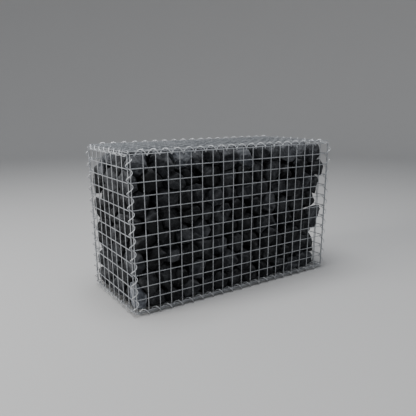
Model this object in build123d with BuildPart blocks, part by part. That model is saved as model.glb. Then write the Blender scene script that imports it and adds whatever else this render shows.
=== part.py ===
from build123d import *
import os
import random
from math import acos, atan, cos, degrees, hypot, pi, sin, tan
from numpy import array
from scipy.spatial import HalfspaceIntersection

# Gabion wall: a welded mesh basket laced at its twelve edges with spiral
# binders and filled with broken stone. Millimetres, Z up, X along the wall,
# the front face towards -Y.

# Basket
length = 1000
height = 600
depth = 400
mesh_opening = 50
bar = 3.5
weld_sink = 0.5
wire_tail = 3
panel_offset = 8

# Spiral binders
spiral_wire = 3.5
spiral_bore_radius = 8.5
spiral_seat = 0.25
spiral_end_gap = 14
spiral_strands = 12
lacing_lead = 1.5

# Stone fill
stone_size = 80
stone_gap = 0.3
stone_scatter = 20
stone_weight_spread = 900
facing_tilt = 0.28
facing_depth = 7
blows = (2, 4)
blow_share = (0.66, 0.84)
smallest_edge = 9
fill_end_gap = 45
course_reach = (0, -3, -15, 20, 14, 24, 45, 8)
missing_stone_rise = 35
random_seed = 11

bars_long = round(length / mesh_opening) + 1
bars_high = round(height / mesh_opening) + 1
bars_deep = round(depth / mesh_opening) + 1
pitch_long = length / (bars_long - 1)
pitch_high = height / (bars_high - 1)
pitch_deep = depth / (bars_deep - 1)

# Half the distance between the two layers of bars in one panel
layer = (bar - weld_sink) / 2
panel_thickness = 2 * bar - weld_sink

random.seed(random_seed)
pieces = {}


# Mesh panels

# In each plane below the local x runs along the panel's first set of bars,
# and z points out of the basket. The bars across local x lie outermost.
front_plane = Plane(origin=(0, -depth / 2 - panel_offset, height / 2), x_dir=(1, 0, 0), z_dir=(0, -1, 0))
back_plane = Plane(origin=(0, depth / 2 + panel_offset, height / 2), x_dir=(-1, 0, 0), z_dir=(0, 1, 0))
left_plane = Plane(origin=(-length / 2 - panel_offset, 0, height / 2), x_dir=(0, 0, 1), z_dir=(-1, 0, 0))
right_plane = Plane(origin=(length / 2 + panel_offset, 0, height / 2), x_dir=(0, 0, 1), z_dir=(1, 0, 0))
lid_plane = Plane(origin=(0, 0, height + panel_offset), x_dir=(0, 1, 0), z_dir=(0, 0, 1))
base_plane = Plane(origin=(0, 0, -panel_offset), x_dir=(0, 1, 0), z_dir=(0, 0, -1))


def mesh_panel(plane, across, across_pitch, along, along_pitch):
    """Two layers of straight bars, sunk into each other where they are welded."""
    width = (across - 1) * across_pitch
    tall = (along - 1) * along_pitch
    with BuildPart() as panel:
        with BuildSketch(plane.offset(layer - bar / 2)):
            with GridLocations(across_pitch, across_pitch, across, 1):
                Rectangle(bar, tall + 2 * wire_tail)
        extrude(amount=bar)
        with BuildSketch(plane.offset(-layer - bar / 2)):
            with GridLocations(along_pitch, along_pitch, 1, along):
                Rectangle(width + 2 * wire_tail, bar)
        extrude(amount=bar)
    return panel.part


pieces["front_panel"] = mesh_panel(front_plane, bars_long, pitch_long, bars_high, pitch_high)
pieces["back_panel"] = mesh_panel(back_plane, bars_long, pitch_long, bars_high, pitch_high)
pieces["left_end_panel"] = mesh_panel(left_plane, bars_high, pitch_high, bars_deep, pitch_deep)
pieces["right_end_panel"] = mesh_panel(right_plane, bars_high, pitch_high, bars_deep, pitch_deep)
pieces["lid_panel"] = mesh_panel(lid_plane, bars_deep, pitch_deep, bars_long, pitch_long)
pieces["base_panel"] = mesh_panel(base_plane, bars_deep, pitch_deep, bars_long, pitch_long)


# Spiral binders

# A right-handed spiral turns once in every mesh cell, so it passes through both
# panels between their cross bars and wraps the two edge bars that lie side by side.
# Each turn is a run of straight strands, which turn their corners to the bore.
strand_angle = 2 * pi / spiral_strands
strand_corner = spiral_wire / 2 ** 0.5
spiral_radius = (spiral_bore_radius + strand_corner) / cos(strand_angle / 2)
spiral_outer_radius = spiral_radius + strand_corner


def spiral_axis(seat_bar, other_bar, outward):
    """Centre of the spiral, hung on the far corner of one edge bar.

    Each bar is the centre of its section in the plane across the edge, and
    outward holds the signs of the two directions out of the basket.
    """
    seat_side = [1 if s > o else -1 for s, o in zip(seat_bar, other_bar)]
    seat_corner = [s + side * bar / 2 for s, side in zip(seat_bar, seat_side)]
    other_corner = [o - side * bar / 2 for o, side in zip(other_bar, seat_side)]
    across = [s - o for s, o in zip(seat_corner, other_corner)]
    span = hypot(*across)
    reach = spiral_bore_radius - spiral_seat
    return [s - a / span * reach for s, a in zip(seat_corner, across)]


def spiral_binder(start, direction, outward, run, turn, lead):
    """A spiral from start along direction, outermost at lead past each cross bar."""
    first = 360 * (spiral_end_gap - lead) / turn
    strands = int((run - 2 * spiral_end_gap) / turn * spiral_strands)
    points = []
    for step in range(strands + 1):
        angle = step * strand_angle
        points.append((spiral_radius * cos(angle), spiral_radius * sin(angle), step * turn / spiral_strands))
    radial = (cos(strand_angle / 2), sin(strand_angle / 2), 0)
    with BuildPart() as binder:
        with BuildLine() as path:
            Polyline(*points)
        with BuildSketch(Plane(origin=path.line @ 0, x_dir=radial, z_dir=path.line % 0)):
            Rectangle(spiral_wire, spiral_wire)
        sweep(normal=(0, 0, 1), transition=Transition.RIGHT)
    edge = Location(Plane(origin=start, x_dir=outward, z_dir=direction))
    return binder.part.moved(edge * Location((0, 0, spiral_end_gap), (0, 0, first)))


def resting_lead(layer_offset, turn):
    """Lead of an upright spiral whose strands rest on the level bars they cross.

    The layer of level bars lies layer_offset outside the spiral's axis, on the
    panel that a strand reaches last on its way round from the outer corner.
    """
    slope = atan(turn / (2 * pi * spiral_radius))
    rest = bar / 2 * (1 + tan(slope)) + strand_corner / cos(slope) + spiral_seat
    crossing = 315 - degrees(acos(layer_offset / spiral_radius))
    return turn * (1 - crossing / 360) + rest


# Bars across a panel's local x lie in its outer layer, the others in its inner one.
outer = panel_offset + layer
inner = panel_offset - layer

for level, upright, name in ((height, 1, "top"), (0, -1, "bottom")):
    for side, side_name in ((-1, "front"), (1, "back")):
        flat_bar = (side * depth / 2, level + upright * outer)
        wall_bar = (side * (depth / 2 + inner), level)
        y, z = spiral_axis(flat_bar, wall_bar, (side, upright))
        binder = spiral_binder(
            (-length / 2, y, z), (1, 0, 0), (0, side, upright), length, pitch_long, lacing_lead
        )
        pieces[f"{name}_{side_name}_spiral"] = binder
    for side, side_name in ((-1, "left"), (1, "right")):
        flat_bar = (side * length / 2, level + upright * inner)
        wall_bar = (side * (length / 2 + outer), level)
        x, z = spiral_axis(flat_bar, wall_bar, (side, upright))
        binder = spiral_binder(
            (x, -depth / 2, z), (0, 1, 0), (side, 0, upright), depth, pitch_deep, lacing_lead
        )
        pieces[f"{name}_{side_name}_spiral"] = binder

for side, side_name in ((-1, "front"), (1, "back")):
    for end, end_name in ((-1, "left"), (1, "right")):
        wall_bar = (end * length / 2, side * (depth / 2 + outer))
        end_bar = (end * (length / 2 + inner), side * depth / 2)
        x, y = spiral_axis(end_bar, wall_bar, (end, side))
        if end == side:
            layer_offset = length / 2 + outer - abs(x)
        else:
            layer_offset = depth / 2 + inner - abs(y)
        lead = resting_lead(layer_offset, pitch_high)
        binder = spiral_binder((x, y, 0), (0, 0, 1), (end, side, 0), height, pitch_high, lead)
        pieces[f"{side_name}_{end_name}_spiral"] = binder


# Stone fill

# The stones fill the room inside the mesh and clear of the spirals at its edges.
room_gap = stone_gap - panel_offset + panel_thickness / 2
room_x = length / 2 - room_gap
room_y = depth / 2 - room_gap
room_low = room_gap
room_high = height - room_gap
edge_room = spiral_outer_radius + stone_gap

# How near a neighbour has to be to bear on a stone, and a wall to face it
neighbour_range = 2.4 * stone_size
facing_range = 0.75 * stone_size


def halfspace(normal, point):
    """The side of a plane that lies against its normal, as coefficients."""
    size = hypot(*normal)
    unit = [n / size for n in normal]
    return unit + [-sum(u * p for u, p in zip(unit, point))]


def room_walls():
    walls = []
    for side in (-1, 1):
        walls.append(halfspace((side, 0, 0), (side * room_x, 0, 0)))
        walls.append(halfspace((0, side, 0), (0, side * room_y, 0)))
    walls.append(halfspace((0, 0, -1), (0, 0, room_low)))
    walls.append(halfspace((0, 0, 1), (0, 0, room_high)))
    slope = edge_room * 2 ** 0.5 - panel_offset
    for side in (-1, 1):
        for end in (-1, 1):
            walls.append(halfspace((end, side, 0), (end * (length / 2 - slope), side * depth / 2, 0)))
        for low, level in ((-1, slope), (1, height - slope)):
            walls.append(halfspace((side, 0, low), (side * length / 2, 0, level)))
            walls.append(halfspace((0, side, low), (0, side * depth / 2, level)))
    return walls


def fill_end(course):
    """How far the stones of a course reach towards the right end."""
    return length / 2 - fill_end_gap + course_reach[course % len(course_reach)]


def stone_seeds(columns, rows, courses):
    """Scattered centres, every second row and course set off by half a stone."""
    margin = stone_size / 4
    seeds = {}
    for course in range(courses):
        ranges = ((-room_x, fill_end(course)), (-room_y, room_y), (room_low, room_high))
        for row in range(rows):
            shift = 0.25 if (row + course) % 2 else -0.25
            for column in range(columns):
                shares = ((column + 0.5 + shift) / columns, (row + 0.5) / rows, (course + 0.5) / courses)
                centre = []
                for share, (low, high) in zip(shares, ranges):
                    value = low + share * (high - low) + random.uniform(-stone_scatter, stone_scatter)
                    centre.append(max(low + margin, min(high - margin, value)))
                seeds[column, row, course] = (tuple(centre), random.uniform(0, stone_weight_spread))
    return seeds


def shared_face(centre, weight, other, other_weight):
    """The plane where two neighbouring stones bear on each other."""
    across = [o - c for o, c in zip(other, centre)]
    distance = hypot(*across)
    share = (distance ** 2 + weight - other_weight) / (2 * distance) - stone_gap / 2
    point = [c + a / distance * share for c, a in zip(centre, across)]
    return halfspace(across, point)


def corners_of(walls, centre):
    return HalfspaceIntersection(array(walls), array(centre)).intersections.tolist()


def knocked_off(corners, centre, direction, share):
    """A plane that takes off whatever stands out past a share of the reach."""
    reach = max(sum(d * (p - c) for d, p, c in zip(direction, corner, centre)) for corner in corners)
    size = hypot(*direction)
    point = [c + d / size * share * reach / size for c, d in zip(centre, direction)]
    return halfspace(direction, point)


def merged(corners):
    """Corners closer together than the smallest edge become one."""
    groups = []
    for corner in corners:
        for group in groups:
            if hypot(*[a - b for a, b in zip(corner, group[0])]) < smallest_edge:
                group.append(corner)
                break
        else:
            groups.append([corner])
    return [tuple(sum(axis) / len(group) for axis in zip(*group)) for group in groups]


def facings(centre, reach):
    """Rough faces set a little behind the room's own walls, each at its own tilt."""
    x, y, z = centre
    rough = []
    for axis, side, edge in ((0, -1, room_x), (0, 1, reach), (1, -1, room_y), (1, 1, room_y)):
        if edge - side * centre[axis] < facing_range:
            normal = [random.uniform(-facing_tilt, facing_tilt) for _ in range(3)]
            normal[axis] = side
            point = list(centre)
            point[axis] = side * (edge - random.uniform(0, facing_depth))
            rough.append(halfspace(normal, point))
    if room_high - z < facing_range:
        normal = (random.uniform(-facing_tilt, facing_tilt), random.uniform(-facing_tilt, facing_tilt), 1)
        rough.append(halfspace(normal, (x, y, room_high - random.uniform(0, facing_depth))))
    return rough


def broken_stone(walls, centre):
    """One angular stone: its cell of the fill with some corners knocked off."""
    corners = corners_of(walls, centre)
    for blow in range(random.randint(*blows)):
        direction = [random.choice((-1, 1)) * random.uniform(0.35, 1) for _ in range(3)]
        walls = walls + [knocked_off(corners, centre, direction, random.uniform(*blow_share))]
    return ConvexPolyhedron(merged(corners_of(walls, centre)))


columns = round(length / stone_size)
rows = round(depth / stone_size)
courses = round(height / stone_size)
seeds = stone_seeds(columns, rows, courses)
room = room_walls()

# One stone is missing from the top course, at the back of the left end, and
# the stones round it stand up a little into its place.
missing_stone = (0, rows - 1, courses - 1)
(x, y, z), weight = seeds[missing_stone]
seeds[missing_stone] = ((x, y, z + missing_stone_rise), weight)

for course in range(courses):
    stones = []
    for place, (centre, weight) in seeds.items():
        if place[-1] != course or place == missing_stone:
            continue
        walls = list(room)
        for other, other_weight in seeds.values():
            if other != centre and max(abs(o - c) for o, c in zip(other, centre)) < neighbour_range:
                walls.append(shared_face(centre, weight, other, other_weight))
        stones.append(broken_stone(walls + facings(centre, fill_end(course)), centre))
    pieces[f"stone_course_{course + 1}"] = Compound(children=stones)

# The wall stands on the lowest turns of its spirals. All its faces are flat, so
# the files need no curves drawn on surfaces.
ground = min(piece.bounding_box().min.Z for piece in pieces.values())
os.makedirs("parts", exist_ok=True)
for name, piece in pieces.items():
    standing = piece.moved(Location((0, 0, -ground)))
    standing.label = name
    export_step(standing, f"parts/{name}.step", write_pcurves=False)
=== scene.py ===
import math
import random

import bmesh
import bpy
import numpy
from mathutils import Matrix, Vector, noise


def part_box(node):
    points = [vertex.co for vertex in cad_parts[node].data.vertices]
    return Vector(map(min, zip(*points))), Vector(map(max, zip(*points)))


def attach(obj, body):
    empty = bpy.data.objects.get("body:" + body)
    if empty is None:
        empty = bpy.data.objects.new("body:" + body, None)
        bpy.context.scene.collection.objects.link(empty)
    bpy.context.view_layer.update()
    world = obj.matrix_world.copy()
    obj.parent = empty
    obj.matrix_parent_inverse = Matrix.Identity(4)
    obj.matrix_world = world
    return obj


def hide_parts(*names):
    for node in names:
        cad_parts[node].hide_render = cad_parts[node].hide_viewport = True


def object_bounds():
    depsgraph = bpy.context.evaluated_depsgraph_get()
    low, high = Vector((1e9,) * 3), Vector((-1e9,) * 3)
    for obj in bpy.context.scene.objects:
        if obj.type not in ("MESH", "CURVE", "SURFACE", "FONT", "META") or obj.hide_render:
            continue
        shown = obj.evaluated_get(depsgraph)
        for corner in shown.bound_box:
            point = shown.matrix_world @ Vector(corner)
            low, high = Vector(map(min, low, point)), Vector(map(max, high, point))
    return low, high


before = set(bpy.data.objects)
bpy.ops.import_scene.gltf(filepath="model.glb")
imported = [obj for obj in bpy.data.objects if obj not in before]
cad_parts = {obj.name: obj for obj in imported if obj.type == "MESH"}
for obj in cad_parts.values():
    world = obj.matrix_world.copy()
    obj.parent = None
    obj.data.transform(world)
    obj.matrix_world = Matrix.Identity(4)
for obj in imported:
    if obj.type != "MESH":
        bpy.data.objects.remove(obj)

cad_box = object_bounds()

# Gabion wall: welded galvanised mesh, spiral binders along its edges and
# broken basalt inside. Metres, Z up, the front towards -Y.

# Mesh panels
mesh_opening = 0.05
wire_radius = 0.0018
wire_sides = 8
wire_tail = 0.003
layer_gap = 0.003
weld_swell = 1.35
panel_wobble = 0.0016
panel_wobble_scale = 6.0

# Spiral binders: each turn is outermost at its lead past a cross bar
spiral_mean_radius = 0.0111
spiral_end_gap = 0.014
spiral_points_a_turn = 20
lacing_lead = 0.0015
upright_lead = 0.0207
spiral_wobble = 0.0005
spiral_wobble_scale = 9.0

# Stones: chips broken off each block, as shares of its reach
chip_count = (9, 15)
chip_share = (0.66, 0.92)
rim_chip_share = (0.45, 0.8)
rim_chip_rise = (0.6, 1.5)
rim_chip_spread = 0.6
arris_sharpness = (40, 90)
stone_subdivisions = 4

# Unevenness of the broken faces: waves per metre, and depth in metres
hollow_scale, hollow_depth = 24, 0.007
ridge_scale, ridge_depth = 55, 0.0042
pit_scale, pit_depth = 130, 0.0022
noise_shift = 50

# Tones of the stones: in stops round the basalt's own colour, or as a factor on it
stone_stops = (-1.8, 0.9)
# painted light: the top course is painted this many times paler, as if lit from above
top_course_painted_light = 2.2
corner_stone_tone = 8.0

scatter = random.Random(21)


# Node helpers

class Wiring:
    """Adds nodes to a tree and joins their sockets."""

    def __init__(self, tree):
        self.tree = tree

    def add(self, kind, **settings):
        node = self.tree.nodes.new(kind)
        for name, value in settings.items():
            setattr(node, name, value)
        return node

    def put(self, socket, value):
        if isinstance(value, bpy.types.NodeSocket):
            self.tree.links.new(value, socket)
        else:
            socket.default_value = value

    def math(self, operation, first, second=None):
        node = self.add("ShaderNodeMath", operation=operation)
        self.put(node.inputs[0], first)
        if second is not None:
            self.put(node.inputs[1], second)
        return node.outputs[0]

    def multiply_add(self, value, factor, added):
        node = self.add("ShaderNodeMath", operation="MULTIPLY_ADD")
        for socket, part in zip(node.inputs, (value, factor, added)):
            self.put(socket, part)
        return node.outputs[0]

    def mix(self, share, first, second, blend="MIX"):
        node = self.add("ShaderNodeMix", data_type="RGBA", blend_type=blend)
        self.put(node.inputs[0], share)
        self.put(node.inputs[6], first)
        self.put(node.inputs[7], second)
        return node.outputs[2]

    def span(self, value, low, high, to_low=0.0, to_high=1.0):
        node = self.add("ShaderNodeMapRange")
        self.put(node.inputs[0], value)
        for index, limit in enumerate((low, high, to_low, to_high), start=1):
            self.put(node.inputs[index], limit)
        return node.outputs[0]

    def noise(self, place, scale, detail, roughness=0.55):
        node = self.add("ShaderNodeTexNoise")
        self.put(node.inputs["Vector"], place)
        self.put(node.inputs["Scale"], scale)
        self.put(node.inputs["Detail"], detail)
        self.put(node.inputs["Roughness"], roughness)
        return node.outputs["Fac"]

    def vector(self, x=0.0, y=0.0, z=0.0):
        node = self.add("ShaderNodeCombineXYZ")
        for socket, value in zip(node.inputs, (x, y, z)):
            self.put(socket, value)
        return node.outputs[0]


def add_inputs(tree, inputs):
    for label, kind, value in inputs:
        socket = tree.interface.new_socket(label, in_out="INPUT", socket_type=kind)
        if value is not None:
            socket.default_value = value


def shader_group(name, inputs, outputs):
    """A shader node group: its tree, its wiring, and what goes in and out of it."""
    tree = bpy.data.node_groups.new(name, "ShaderNodeTree")
    add_inputs(tree, inputs)
    for label in outputs:
        tree.interface.new_socket(label, in_out="OUTPUT", socket_type="NodeSocketFloat")
    wiring = Wiring(tree)
    given = wiring.add("NodeGroupInput").outputs
    return tree, wiring, given, wiring.add("NodeGroupOutput").inputs


def shape_tree(name, inputs):
    """A geometry node tree with named inputs and one geometry output."""
    tree = bpy.data.node_groups.new(name, "GeometryNodeTree")
    add_inputs(tree, inputs)
    tree.interface.new_socket("Geometry", in_out="OUTPUT", socket_type="NodeSocketGeometry")
    wiring = Wiring(tree)
    given = wiring.add("NodeGroupInput").outputs
    return tree, wiring, given, wiring.add("NodeGroupOutput").inputs


def values_for(inputs):
    """Turns names with underscores into the labels of sockets."""
    return {name.replace("_", " "): value for name, value in inputs.items()}


# Materials

def mottling_group():
    """Broad patches, fine grain and the relief that goes with them."""
    tree, wiring, given, result = shader_group(
        "mottling",
        [("Place", "NodeSocketVector", None), ("Patch Scale", "NodeSocketFloat", 12.0),
         ("Grain Scale", "NodeSocketFloat", 300.0)],
        ("Patches", "Grain", "Relief"),
    )
    patches = wiring.noise(given["Place"], given["Patch Scale"], 3.0)
    grain = wiring.noise(given["Place"], given["Grain Scale"], 5.0, 0.65)
    middle_scale = wiring.math("MULTIPLY", given["Patch Scale"], 5.0)
    middle = wiring.noise(given["Place"], middle_scale, 6.0, 0.6)
    wiring.put(result["Patches"], wiring.span(patches, 0.35, 0.65))
    wiring.put(result["Grain"], wiring.span(grain, 0.3, 0.7))
    wiring.put(result["Relief"], wiring.multiply_add(grain, 0.35, middle))
    return tree


def blank_material(name):
    material = bpy.data.materials.new(name)
    material.use_nodes = True
    wiring = Wiring(material.node_tree)
    shader = material.node_tree.nodes["Principled BSDF"]
    place = wiring.add("ShaderNodeTexCoord").outputs["Object"]
    return material, wiring, shader.inputs, place


def mottled(wiring, **values):
    node = wiring.add("ShaderNodeGroup", node_tree=mottling)
    for label, value in values_for(values).items():
        wiring.put(node.inputs[label], value)
    return node.outputs


def bumped(wiring, surface, height, strength, depth):
    bump = wiring.add("ShaderNodeBump")
    bump.inputs["Strength"].default_value = strength
    bump.inputs["Distance"].default_value = depth
    wiring.put(bump.inputs["Height"], height)
    wiring.put(surface["Normal"], bump.outputs[0])


def galvanised(name, dull, bright, bloom, rough_low, rough_high):
    """Hot-dipped zinc with faint spangle, pale bloom in patches and dirt low down."""
    mud = (0.16, 0.145, 0.13, 1)
    splash_height = 0.16
    material, wiring, surface, place = blank_material(name)
    mottle = mottled(wiring, Place=place, Patch_Scale=14.0, Grain_Scale=420.0)
    spangle = wiring.add("ShaderNodeTexVoronoi")
    wiring.put(spangle.inputs["Vector"], place)
    wiring.put(spangle.inputs["Scale"], 160.0)
    tone = wiring.add("ShaderNodeSeparateColor")
    wiring.put(tone.inputs[0], spangle.outputs["Color"])
    zinc = wiring.mix(tone.outputs[0], dull, bright)
    weathered = wiring.mix(wiring.math("MULTIPLY", mottle["Patches"], 0.45), zinc, bloom)
    height = wiring.add("ShaderNodeSeparateXYZ")
    wiring.put(height.inputs[0], place)
    low_down = wiring.span(height.outputs["Z"], 0.0, splash_height, 0.2, 0.0)
    dirt = wiring.math("MULTIPLY", low_down, mottle["Grain"])
    wiring.put(surface["Base Color"], wiring.mix(dirt, weathered, mud))
    wiring.put(surface["Metallic"], 0.55)
    rough = wiring.span(mottle["Patches"], 0.0, 1.0, rough_low, rough_high)
    wiring.put(surface["Roughness"], rough)
    bumped(wiring, surface, mottle["Relief"], strength=0.25, depth=0.0004)
    return material


def basalt():
    """Dark blue-grey broken stone: mottled, paler along its arrises partly as painted highlight,
    dusty on top partly as painted light, with painted shade on level tops.
    """
    darkest = (0.007, 0.0076, 0.0092, 1)
    blue_grey = (0.017, 0.0187, 0.0225, 1)
    crystal = (0.036, 0.0395, 0.046, 1)
    flaw = (0.009, 0.0095, 0.011, 1)
    scoop_rim = (0.075, 0.08, 0.088, 1)
    # pale bruising on the arrises, partly a painted highlight
    bruise_and_highlight = (0.12, 0.125, 0.132, 1)
    # dust, and painted light from above, on faces that look up
    dust_and_top_light = (0.175, 0.18, 0.19, 1)
    material, wiring, surface, place = blank_material("basalt")
    mottle = mottled(wiring, Place=place, Patch_Scale=22.0, Grain_Scale=520.0)
    # each stone's tone, which in the top course holds painted light from above
    tone = wiring.add("ShaderNodeAttribute", attribute_name="stone_tone_and_top_light").outputs["Fac"]
    arris = wiring.add("ShaderNodeAttribute", attribute_name="arris").outputs["Fac"]

    # The broken stone itself, with crystals and dark flaws
    ground = wiring.mix(wiring.math("MULTIPLY", mottle["Patches"], 0.5), darkest, blue_grey)
    speckled = wiring.mix(wiring.math("MULTIPLY", mottle["Grain"], 0.55), ground, crystal)
    flaws = wiring.span(mottle["Relief"], 0.45, 0.85, 0.0, 0.55)
    flecked = wiring.mix(flaws, speckled, flaw)

    # Shallow scoops where it broke, with paler rims
    scoops = wiring.add("ShaderNodeTexVoronoi", feature="SMOOTH_F1")
    wiring.put(scoops.inputs["Vector"], place)
    wiring.put(scoops.inputs["Scale"], 46.0)
    wiring.put(scoops.inputs["Smoothness"], 0.25)
    wiring.put(scoops.inputs["Randomness"], 1.0)
    rims = wiring.span(scoops.outputs["Distance"], 0.45, 0.8, 0.0, 0.5)
    rimmed = wiring.mix(wiring.math("MULTIPLY", rims, mottle["Grain"]), flecked, scoop_rim)

    # Bruised arrises, paler partly as real bruising and partly as painted highlight, and each
    # stone's own tone, which holds painted light in the top course
    arris_bruise_and_highlight = wiring.span(arris, 0.92, 1.0, 0.0, 0.8)
    bruised_and_highlighted = wiring.mix(wiring.math("MULTIPLY", arris_bruise_and_highlight, mottle["Grain"]), rimmed, bruise_and_highlight)
    toned = wiring.mix(1.0, bruised_and_highlighted, tone, "MULTIPLY")

    # Dust on what faces up, partly real dust and partly painted light from above, with less of it
    # where a face lies level as painted shade on the level tops
    facing = wiring.add("ShaderNodeSeparateXYZ")
    wiring.put(facing.inputs[0], wiring.add("ShaderNodeNewGeometry").outputs["Normal"])
    upward_dust_and_light = wiring.span(facing.outputs["Z"], 0.1, 0.75, 0.0, 0.75)
    # painted shade: level faces keep less of the pale dust, so level tops are darker
    level_painted_shade = wiring.span(facing.outputs["Z"], 0.75, 1.0, 1.0, 0.35)
    settled_dust_and_light = wiring.math("MULTIPLY", wiring.math("MULTIPLY", upward_dust_and_light, level_painted_shade), mottle["Patches"])
    wiring.put(surface["Base Color"], wiring.mix(settled_dust_and_light, toned, dust_and_top_light))

    wiring.put(surface["Roughness"], wiring.span(mottle["Grain"], 0.0, 1.0, 0.6, 0.85))
    wiring.put(surface["Specular IOR Level"], 0.25)
    broken = wiring.multiply_add(scoops.outputs["Distance"], 0.9, mottle["Relief"])
    bumped(wiring, surface, broken, strength=1.0, depth=0.009)
    return material


mottling = mottling_group()
# Two copies of one zinc: the spiral copy is painted paler as painted light, and the mesh copy
# darker as painted shade
mesh_painted_shade_finish = galvanised(
    "galvanised_mesh_painted_shade", dull=(0.33, 0.345, 0.365, 1), bright=(0.50, 0.52, 0.545, 1),
    bloom=(0.57, 0.58, 0.595, 1), rough_low=0.45, rough_high=0.62,
)
spiral_painted_light_finish = galvanised(
    "galvanised_spiral_painted_light", dull=(0.46, 0.48, 0.50, 1), bright=(0.66, 0.68, 0.70, 1),
    bloom=(0.68, 0.69, 0.70, 1), rough_low=0.32, rough_high=0.48,
)
stone_finish = basalt()


# Trees for the mesh panels and the spiral binders

def wobble(wiring, shape, amount, scale, seed):
    """Moves points a little, as wire is never quite straight."""
    position = wiring.add("GeometryNodeInputPosition").outputs[0]
    drift = wiring.add("ShaderNodeTexNoise", noise_dimensions="4D")
    wiring.put(drift.inputs["Vector"], position)
    wiring.put(drift.inputs["W"], seed)
    wiring.put(drift.inputs["Scale"], scale)
    wiring.put(drift.inputs["Detail"], 1.0)
    centred = wiring.add("ShaderNodeVectorMath", operation="SUBTRACT")
    wiring.put(centred.inputs[0], drift.outputs["Color"])
    wiring.put(centred.inputs[1], (0.5, 0.5, 0.5))
    scaled = wiring.add("ShaderNodeVectorMath", operation="SCALE")
    wiring.put(scaled.inputs[0], centred.outputs[0])
    wiring.put(scaled.inputs["Scale"], amount)
    moved = wiring.add("GeometryNodeSetPosition")
    wiring.put(moved.inputs["Geometry"], shape)
    wiring.put(moved.inputs["Offset"], scaled.outputs[0])
    return moved.outputs[0]


def round_wire(wiring, curve, radius):
    ring = wiring.add("GeometryNodeCurvePrimitiveCircle")
    wiring.put(ring.inputs["Resolution"], wire_sides)
    wiring.put(ring.inputs["Radius"], radius)
    solid = wiring.add("GeometryNodeCurveToMesh")
    wiring.put(solid.inputs["Curve"], curve)
    wiring.put(solid.inputs["Profile Curve"], ring.outputs[0])
    wiring.put(solid.inputs["Fill Caps"], True)
    return solid.outputs[0]


def end_tree(wiring, geometry, material, output):
    """Realises the instances, shades them smooth and sets the material."""
    real = wiring.add("GeometryNodeRealizeInstances")
    wiring.put(real.inputs[0], geometry)
    smooth = wiring.add("GeometryNodeSetShadeSmooth")
    wiring.put(smooth.inputs["Geometry"], real.outputs[0])
    coat = wiring.add("GeometryNodeSetMaterial")
    wiring.put(coat.inputs["Geometry"], smooth.outputs[0])
    wiring.put(coat.inputs["Material"], material)
    wiring.put(output[0], coat.outputs[0])


def wire_layer(wiring, given, count, spread, run, along_x, side):
    """One layer: straight wires along x or y, spread evenly in the other direction."""
    half_run = wiring.math("ADD", wiring.math("MULTIPLY", run, 0.5), given["Tail"])
    back_run = wiring.math("MULTIPLY", half_run, -1.0)
    level = wiring.math("MULTIPLY", given["Layer Gap"], 0.5 * side)
    start = wiring.math("MULTIPLY", spread, -0.5)
    step = wiring.math("DIVIDE", spread, wiring.math("SUBTRACT", count, 1.0))
    along, across = ("x", "y") if along_x else ("y", "x")
    straight = wiring.add("GeometryNodeCurvePrimitiveLine")
    wiring.put(straight.inputs["Start"], wiring.vector(z=level, **{along: back_run}))
    wiring.put(straight.inputs["End"], wiring.vector(z=level, **{along: half_run}))
    points = wiring.add("GeometryNodeResampleCurve")
    wiring.put(points.inputs["Curve"], straight.outputs[0])
    half_cells = wiring.math("DIVIDE", run, mesh_opening / 2)
    wiring.put(points.inputs["Count"], wiring.math("ADD", half_cells, 1.0))
    row = wiring.add("GeometryNodeMeshLine")
    wiring.put(row.inputs["Count"], count)
    wiring.put(row.inputs["Start Location"], wiring.vector(**{across: start}))
    wiring.put(row.inputs["Offset"], wiring.vector(**{across: step}))
    copies = wiring.add("GeometryNodeInstanceOnPoints")
    wiring.put(copies.inputs["Points"], row.outputs[0])
    wiring.put(copies.inputs["Instance"], points.outputs[0])
    real = wiring.add("GeometryNodeRealizeInstances")
    wiring.put(real.inputs[0], copies.outputs[0])
    return real.outputs[0]


def weld_nuggets(wiring, given):
    """A small swelling at each crossing, bent with the wires."""
    crossings = wiring.add("GeometryNodeMeshGrid")
    wiring.put(crossings.inputs["Size X"], given["Width"])
    wiring.put(crossings.inputs["Size Y"], given["Height"])
    wiring.put(crossings.inputs["Vertices X"], given["Across Count"])
    wiring.put(crossings.inputs["Vertices Y"], given["Along Count"])
    points = wobble(
        wiring, crossings.outputs[0], given["Wobble"], panel_wobble_scale, given["Seed"]
    )
    nugget = wiring.add("GeometryNodeMeshIcoSphere")
    wiring.put(nugget.inputs["Subdivisions"], 1)
    wiring.put(nugget.inputs["Radius"], wiring.math("MULTIPLY", given["Wire Radius"], weld_swell))
    welds = wiring.add("GeometryNodeInstanceOnPoints")
    wiring.put(welds.inputs["Points"], points)
    wiring.put(welds.inputs["Instance"], nugget.outputs[0])
    return welds.outputs[0]


def joined(wiring, first, second):
    both = wiring.add("GeometryNodeJoinGeometry")
    wiring.put(both.inputs[0], first)
    wiring.put(both.inputs[0], second)
    return both.outputs[0]


def welded_mesh_tree():
    """Two layers of straight wires with a weld at each crossing. The outer run along y."""
    tree, wiring, given, output = shape_tree("welded_mesh", [
        ("Across Count", "NodeSocketInt", 21), ("Along Count", "NodeSocketInt", 13),
        ("Width", "NodeSocketFloat", 1.0), ("Height", "NodeSocketFloat", 0.6),
        ("Tail", "NodeSocketFloat", wire_tail), ("Wire Radius", "NodeSocketFloat", wire_radius),
        ("Layer Gap", "NodeSocketFloat", layer_gap), ("Wobble", "NodeSocketFloat", panel_wobble),
        ("Seed", "NodeSocketFloat", 0.0), ("Material", "NodeSocketMaterial", None),
    ])
    width, height = given["Width"], given["Height"]
    outer = wire_layer(wiring, given, given["Across Count"], width, height, False, 1)
    inner = wire_layer(wiring, given, given["Along Count"], height, width, True, -1)
    bent = wobble(
        wiring, joined(wiring, inner, outer), given["Wobble"], panel_wobble_scale, given["Seed"]
    )
    wires = round_wire(wiring, bent, given["Wire Radius"])
    welded = joined(wiring, wires, weld_nuggets(wiring, given))
    end_tree(wiring, welded, given["Material"], output)
    return tree


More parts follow.
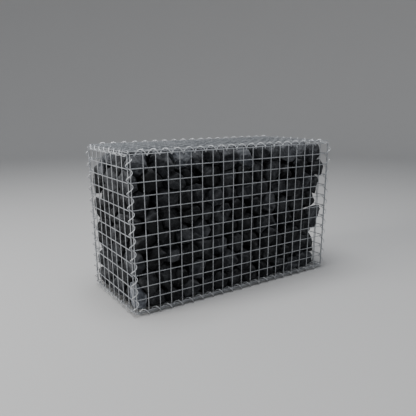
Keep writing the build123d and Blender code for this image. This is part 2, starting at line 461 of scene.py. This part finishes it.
def spiral_binder_tree():
    """A right-handed spiral of wire along z, with its first point along x."""
    tree, wiring, given, output = shape_tree("spiral_binder", [
        ("Turns", "NodeSocketFloat", 20.0), ("Run", "NodeSocketFloat", 1.0),
        ("Radius", "NodeSocketFloat", spiral_mean_radius),
        ("Wire Radius", "NodeSocketFloat", wire_radius),
        ("Wobble", "NodeSocketFloat", spiral_wobble), ("Seed", "NodeSocketFloat", 0.0),
        ("Material", "NodeSocketMaterial", None),
    ])
    coil = wiring.add("GeometryNodeCurveSpiral")
    wiring.put(coil.inputs["Resolution"], spiral_points_a_turn)
    wiring.put(coil.inputs["Reverse"], True)
    wiring.put(coil.inputs["Rotations"], given["Turns"])
    wiring.put(coil.inputs["Start Radius"], given["Radius"])
    wiring.put(coil.inputs["End Radius"], given["Radius"])
    wiring.put(coil.inputs["Height"], given["Run"])
    loose = wobble(wiring, coil.outputs[0], given["Wobble"], spiral_wobble_scale, given["Seed"])
    end_tree(wiring, round_wire(wiring, loose, given["Wire Radius"]), given["Material"], output)
    return tree


# Placing the pieces

def centre_of(node):
    low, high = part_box(node)
    return (Vector(low) + Vector(high)) / 2


def framed(origin, x_axis, z_axis):
    """The matrix that puts local x and z along these directions at the origin."""
    z_axis = Vector(z_axis).normalized()
    x_axis = Vector(x_axis).normalized()
    y_axis = z_axis.cross(x_axis)
    turn = Matrix((x_axis, y_axis, z_axis)).transposed().to_4x4()
    return Matrix.Translation(origin) @ turn


def grown(name, tree, place, **values):
    """A plain mesh object made by a tree with the given inputs, put in place."""
    piece = bpy.data.objects.new(name, bpy.data.meshes.new(name))
    bpy.context.scene.collection.objects.link(piece)
    modifier = piece.modifiers.new("shape", "NODES")
    modifier.node_group = tree
    sockets = {
        item.name: item.identifier
        for item in tree.interface.items_tree if item.in_out == "INPUT"
    }
    for label, value in values_for(values).items():
        modifier[sockets[label]] = value
    evaluated = piece.evaluated_get(bpy.context.evaluated_depsgraph_get())
    shape = bpy.data.meshes.new_from_object(evaluated)
    piece.modifiers.clear()
    piece.data = shape
    shape.transform(place)
    return piece


def hang(piece, node):
    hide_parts(node)
    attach(piece, "root")


def mesh_panels():
    """The six panels, each the size of its node."""
    tree = welded_mesh_tree()
    # Panel, local x, direction out of the basket
    panels = (
        ("front", (1, 0, 0), (0, -1, 0)),
        ("back", (-1, 0, 0), (0, 1, 0)),
        ("left_end", (0, 0, 1), (-1, 0, 0)),
        ("right_end", (0, 0, 1), (1, 0, 0)),
        ("lid", (0, 1, 0), (0, 0, 1)),
        ("base", (0, 1, 0), (0, 0, -1)),
    )
    for number, (panel, x_axis, outward) in enumerate(panels):
        node = f"{panel}_panel"
        low, high = (Vector(corner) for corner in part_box(node))
        y_axis = Vector(outward).cross(Vector(x_axis))
        width = abs((high - low).dot(Vector(x_axis))) - 2 * wire_tail
        tall = abs((high - low).dot(y_axis)) - 2 * wire_tail
        piece = grown(
            f"{panel}_mesh", tree, framed(centre_of(node), x_axis, outward),
            Across_Count=round(width / mesh_opening) + 1,
            Along_Count=round(tall / mesh_opening) + 1,
            Width=width, Height=tall, Tail=wire_tail, Wire_Radius=wire_radius,
            Layer_Gap=layer_gap, Wobble=panel_wobble, Seed=float(number), Material=mesh_painted_shade_finish,
        )
        hang(piece, node)


def spiral_edges():
    """Each laced edge: its name, its direction, the way out of the basket, its lead."""
    for level, up in (("top", 1), ("bottom", -1)):
        for side, out in (("front", -1), ("back", 1)):
            yield f"{level}_{side}", (1, 0, 0), (0, out, up), lacing_lead
        for side, out in (("left", -1), ("right", 1)):
            yield f"{level}_{side}", (0, 1, 0), (out, 0, up), lacing_lead
    for side, out in (("front", -1), ("back", 1)):
        for end, way in (("left", -1), ("right", 1)):
            yield f"{side}_{end}", (0, 0, 1), (way, out, 0), upright_lead


def spiral_binders():
    """The twelve spirals, each as long as its node."""
    tree = spiral_binder_tree()
    for number, (edge, along, outward, lead) in enumerate(spiral_edges()):
        node = f"{edge}_spiral"
        low, high = (Vector(corner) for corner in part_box(node))
        direction = Vector(along)
        run = (high - low).dot(direction)
        start = centre_of(node) - direction * run / 2
        first_turn = 2 * math.pi * (spiral_end_gap - lead) / mesh_opening
        place = framed(start, outward, along) @ Matrix.Rotation(first_turn, 4, "Z")
        piece = grown(
            f"{edge}_binder", tree, place, Turns=run / mesh_opening, Run=run,
            Radius=spiral_mean_radius, Wire_Radius=wire_radius, Wobble=spiral_wobble,
            Seed=float(number), Material=spiral_painted_light_finish,
        )
        hang(piece, node)


# Stones

def ball():
    """Points and triangles of the round blank that each stone is broken from."""
    blank = bmesh.new()
    bmesh.ops.create_icosphere(blank, subdivisions=stone_subdivisions, radius=1)
    points = numpy.array([vertex.co[:] for vertex in blank.verts])
    faces = numpy.array([[vertex.index for vertex in face.verts] for face in blank.faces])
    blank.free()
    return points, faces


def linked_corners(corner, waiting):
    """All the corners that edges join to this one, taken out of those waiting."""
    group = {corner}
    reached = [corner]
    while reached:
        vertex = reached.pop()
        for edge in vertex.link_edges:
            other = edge.other_vert(vertex)
            if other in waiting:
                waiting.discard(other)
                group.add(other)
                reached.append(other)
    return group


def flat_sided_blocks(node):
    """The corners and face planes of each separate block in a CAD node."""
    shape = bmesh.new()
    shape.from_mesh(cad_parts[node].data)
    bmesh.ops.remove_doubles(shape, verts=shape.verts, dist=0.00002)
    bmesh.ops.dissolve_limit(
        shape, angle_limit=math.radians(1.5), verts=shape.verts, edges=shape.edges
    )
    shape.normal_update()
    blocks = []
    waiting = set(shape.verts)
    while waiting:
        group = linked_corners(waiting.pop(), waiting)
        faces = {face for vertex in group for face in vertex.link_faces}
        corners = numpy.array(sorted(vertex.co[:] for vertex in group))
        planes = sorted(
            (*face.normal, face.normal.dot(face.calc_center_median())) for face in faces
        )
        blocks.append((corners, numpy.array(planes)))
    shape.free()
    blocks.sort(key=lambda block: tuple(block[0][0]))
    return blocks


def any_direction():
    return numpy.array(Vector([scatter.gauss(0, 1) for _ in range(3)]).normalized())


def towards_rim(centre):
    """A direction up and out over the nearest top edge of the basket."""
    low, high = (Vector(corner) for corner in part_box("lid_panel"))
    gaps = {
        (-1, 0): centre[0] - low.x, (1, 0): high.x - centre[0],
        (0, -1): centre[1] - low.y, (0, 1): high.y - centre[1],
    }
    x, y = min(gaps, key=gaps.get)
    rise = scatter.uniform(*rim_chip_rise)
    x += scatter.uniform(-rim_chip_spread, rim_chip_spread)
    y += scatter.uniform(-rim_chip_spread, rim_chip_spread)
    return numpy.array(Vector((x, y, rise)).normalized())


def unevenness(place):
    """How far a broken face lies below its block at a place: hollows, ridges and pits."""
    hollow = max(noise.noise(place * hollow_scale), 0) * hollow_depth
    ridge = abs(noise.noise(place * ridge_scale)) * ridge_depth
    pit = max(noise.noise(place * pit_scale), 0) * pit_depth
    return hollow + ridge + pit


def broken_stone(corners, planes, top):
    """Points of one broken stone that just fits inside its block.

    Along each direction the stone reaches to the nearest face plane, blended
    with the next ones so that its arrises are worn, and less where it is chipped.
    In the top course each stone is broken off towards the rim as well.
    """
    centre = corners.mean(axis=0)
    normals = [planes[:, :3]]
    heights = [planes[:, 3] - planes[:, :3] @ centre]

    def chip(direction, share):
        support = ((corners - centre) @ direction).max()
        normals.append(direction[None])
        heights.append([support * scatter.uniform(*share)])

    for _ in range(scatter.randint(*chip_count)):
        chip(any_direction(), chip_share)
    if top:
        chip(towards_rim(centre), rim_chip_share)
    sharpness = scatter.uniform(*arris_sharpness)
    facing = ball_points @ numpy.vstack(normals).T / numpy.concatenate(heights)
    facing = numpy.clip(facing, 0, None)
    reach = (facing ** sharpness).sum(axis=1) ** (-1 / sharpness)
    nearest = numpy.sort(facing, axis=1)
    arris = nearest[:, -2] / nearest[:, -1]
    points = centre + ball_points * reach[:, None]
    shift = Vector([scatter.uniform(-noise_shift, noise_shift) for _ in range(3)])
    for index, point in enumerate(points):
        points[index] = point - ball_points[index] * unevenness(Vector(point) + shift)
    return points, arris


def stone_tones_and_top_light(stones, node):
    """A tone for each stone: the top course painted paler as painted light from above, and paler
    at the front left corner.
    """
    tones_and_top_light = [2 ** scatter.uniform(*stone_stops) for _ in stones]
    # painted light: the top course is painted paler, as if lit from above
    if node == course_nodes[-1]:
        tones_and_top_light = [top_course_painted_light * tone for tone in tones_and_top_light]
    if node == course_nodes[0]:
        corner_stone = min(range(len(stones)), key=lambda number: stones[number][:, :2].mean())
        tones_and_top_light[corner_stone] = corner_stone_tone
    return tones_and_top_light


def triangle_mesh(name, points, faces):
    shape = bpy.data.meshes.new(name)
    shape.vertices.add(len(points))
    shape.vertices.foreach_set("co", points.ravel())
    shape.loops.add(faces.size)
    shape.loops.foreach_set("vertex_index", faces.ravel())
    shape.polygons.add(len(faces))
    shape.polygons.foreach_set("loop_start", numpy.arange(0, faces.size, 3))
    shape.update(calc_edges=True)
    shape.polygons.foreach_set("use_smooth", numpy.ones(len(faces), dtype=bool))
    return shape


def stone_course(node, name):
    """A course of broken stones, each inside its own CAD block."""
    top = node == course_nodes[-1]
    broken = [broken_stone(corners, planes, top) for corners, planes in flat_sided_blocks(node)]
    stones = [points for points, arris in broken]
    faces = [ball_faces + number * len(ball_points) for number in range(len(stones))]
    shape = triangle_mesh(name, numpy.concatenate(stones), numpy.concatenate(faces))
    tones_and_top_light = shape.attributes.new("stone_tone_and_top_light", "FLOAT", "POINT")
    tones_and_top_light.data.foreach_set("value", numpy.repeat(stone_tones_and_top_light(stones, node), len(ball_points)))
    arrises = shape.attributes.new("arris", "FLOAT", "POINT")
    arrises.data.foreach_set("value", numpy.concatenate([arris for points, arris in broken]))
    shape.materials.append(stone_finish)
    shape.validate()
    piece = bpy.data.objects.new(name, shape)
    bpy.context.scene.collection.objects.link(piece)
    return piece


# Floor, light and camera

def pale_floor():
    """A pale sheet that lies flat under the wall and sweeps up far round it."""
    flat_radius = 6
    flat_rings = 4
    sweep_radius = 3
    sweep_rings = 12
    sides = 96
    material, wiring, surface, _ = blank_material("pale_floor")
    wiring.put(surface["Base Color"], (0.56, 0.555, 0.55, 1))
    wiring.put(surface["Roughness"], 0.9)
    rings = [(flat_radius * step / flat_rings, 0) for step in range(1, flat_rings + 1)]
    for step in range(1, sweep_rings + 1):
        angle = math.pi / 2 * step / sweep_rings
        out, up = math.sin(angle), 1 - math.cos(angle)
        rings.append((flat_radius + sweep_radius * out, sweep_radius * up))
    rings.append((flat_radius + sweep_radius, 2 * sweep_radius))
    points = [(0, 0, 0)]
    for radius, level in rings:
        for side in range(sides):
            turn = 2 * math.pi * side / sides
            points.append((radius * math.cos(turn), radius * math.sin(turn), level))
    faces = [(0, 1 + side, 1 + (side + 1) % sides) for side in range(sides)]
    for ring in range(len(rings) - 1):
        inner = 1 + ring * sides
        outer = inner + sides
        for side in range(sides):
            following = (side + 1) % sides
            faces.append((inner + side, outer + side, outer + following, inner + following))
    shape = bpy.data.meshes.new("floor")
    shape.from_pydata(points, [], faces)
    shape.polygons.foreach_set("use_smooth", [True] * len(faces))
    shape.materials.append(material)
    floor = bpy.data.objects.new("floor", shape)
    floor.location.z = cad_box[0][2]
    bpy.context.scene.collection.objects.link(floor)


def daylight():
    """A dull sky with soft boxes to the left, above and in front."""
    world = bpy.data.worlds.new("sky")
    world.use_nodes = True
    sky = world.node_tree.nodes["Background"]
    sky.inputs["Color"].default_value = (0.80, 0.84, 0.90, 1)
    sky.inputs["Strength"].default_value = 0.36
    bpy.context.scene.world = world
    wall_middle = Vector((0, 0, 0.3))
    # Name, place, size in metres, watts, tint
    soft_boxes = (
        ("key", (-4.4, 0.4, 1.7), 1.6, 140, (1.0, 0.985, 0.96)),
        ("top", (-0.6, 0.0, 4.6), 2.6, 165, (0.97, 0.985, 1.0)),
        ("fill", (-0.5, -5.0, 1.6), 4.0, 16, (0.95, 0.975, 1.0)),
    )
    for name, place, size, watts, tint in soft_boxes:
        light = bpy.data.lights.new(name, "AREA")
        light.shape = "SQUARE"
        light.size = size
        light.energy = watts
        light.color = tint
        lamp = bpy.data.objects.new(name, light)
        lamp.location = place
        aim = wall_middle - Vector(place)
        lamp.rotation_euler = aim.to_track_quat("-Z", "Y").to_euler()
        bpy.context.scene.collection.objects.link(lamp)


def photo_camera():
    """The photograph's camera, worked out from the known mesh of the front and the end."""
    azimuth = math.radians(33.495)
    elevation = math.radians(15.052)
    roll = math.radians(-0.18)
    focal_pixels = 443.0
    frame_pixels = 416
    centre_drop_pixels = 228.69 - frame_pixels / 2
    # Where it stands, from the middle of the lowest wire of the front mesh
    aside, ahead, above = -1.1289, -1.4427, 0.7509
    front_low, front_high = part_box("front_panel")
    front_plane = (front_low[1] + front_high[1]) / 2
    lowest_wire = front_low[2] + wire_tail
    stand = Vector((aside, ahead + front_plane, above + lowest_wire))
    forward = Vector((
        math.sin(azimuth) * math.cos(elevation), math.cos(azimuth) * math.cos(elevation),
        -math.sin(elevation),
    ))
    right = forward.cross(Vector((0, 0, 1))).normalized()
    up = right.cross(forward)
    rolled_right = right * math.cos(roll) + up * math.sin(roll)
    rolled_up = up * math.cos(roll) - right * math.sin(roll)
    lens = bpy.data.cameras.new("camera")
    lens.sensor_width = 36
    lens.lens = focal_pixels / frame_pixels * lens.sensor_width
    lens.shift_y = centre_drop_pixels / frame_pixels
    camera = bpy.data.objects.new("camera", lens)
    turn = Matrix((rolled_right, rolled_up, -forward)).transposed().to_4x4()
    camera.matrix_world = Matrix.Translation(stand) @ turn
    bpy.context.scene.collection.objects.link(camera)
    bpy.context.scene.camera = camera


mesh_panels()
spiral_binders()
ball_points, ball_faces = ball()
course_nodes = sorted(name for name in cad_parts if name.startswith("stone_course_"))
for node in course_nodes:
    hang(stone_course(node, node.replace("stone", "basalt")), node)
pale_floor()
daylight()
photo_camera()
